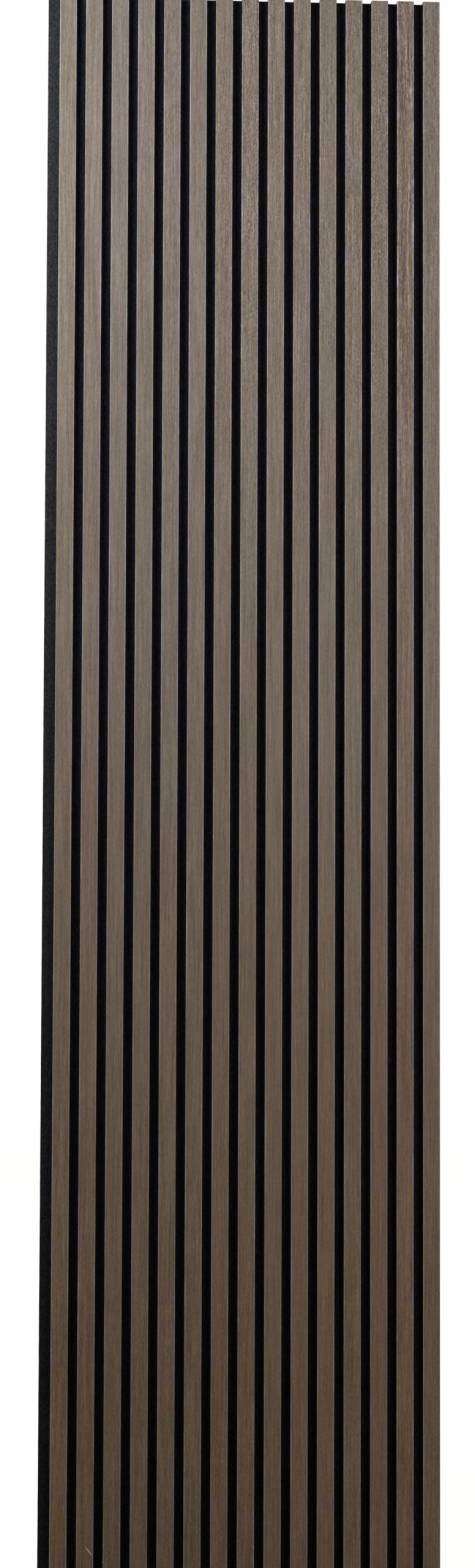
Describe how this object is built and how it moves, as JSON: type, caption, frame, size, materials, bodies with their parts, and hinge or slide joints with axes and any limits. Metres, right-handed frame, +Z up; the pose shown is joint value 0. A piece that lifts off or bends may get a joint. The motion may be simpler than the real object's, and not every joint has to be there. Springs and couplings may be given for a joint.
{
  "type": "acoustic slat wall panel",
  "caption": "Tall, thin wall panel: wood-veneered slats stand side by side on a sheet of black felt, with open grooves between them that let sound through to the felt.",
  "frame": {"origin": "the middle of the felt's back face, the face that lies on the wall", "axes": "+Z up along the slats, +Y into the wall, the slatted face looks along -Y"},
  "size_m": [0.605, 0.021, 2.4],
  "materials": {
    "felt": "matt black needled polyester felt",
    "black_fibreboard": "black-dyed medium-density fibreboard, sawn and matt",
    "wood_veneer": "grey-brown stained wood veneer, fine straight grain, matt lacquer",
    "staple_wire": "galvanised steel wire"
  },
  "bodies": {
    "root": {"felt_backing": "felt", "slat_core_01": "black_fibreboard", "veneer_face_01": "wood_veneer", "slat_core_02": "black_fibreboard", "veneer_face_02": "wood_veneer", "slat_core_03": "black_fibreboard", "veneer_face_03": "wood_veneer", "slat_core_04": "black_fibreboard", "veneer_face_04": "wood_veneer", "slat_core_05": "black_fibreboard", "veneer_face_05": "wood_veneer", "slat_core_06": "black_fibreboard", "veneer_face_06": "wood_veneer", "slat_core_07": "black_fibreboard", "veneer_face_07": "wood_veneer", "slat_core_08": "black_fibreboard", "veneer_face_08": "wood_veneer", "slat_core_09": "black_fibreboard", "veneer_face_09": "wood_veneer", "slat_core_10": "black_fibreboard", "veneer_face_10": "wood_veneer", "slat_core_11": "black_fibreboard", "veneer_face_11": "wood_veneer", "slat_core_12": "black_fibreboard", "veneer_face_12": "wood_veneer", "slat_core_13": "black_fibreboard", "veneer_face_13": "wood_veneer", "slat_core_14": "black_fibreboard", "veneer_face_14": "wood_veneer", "slat_core_15": "black_fibreboard", "veneer_face_15": "wood_veneer", "staples": "staple_wire"}
  },
  "joints": []
}
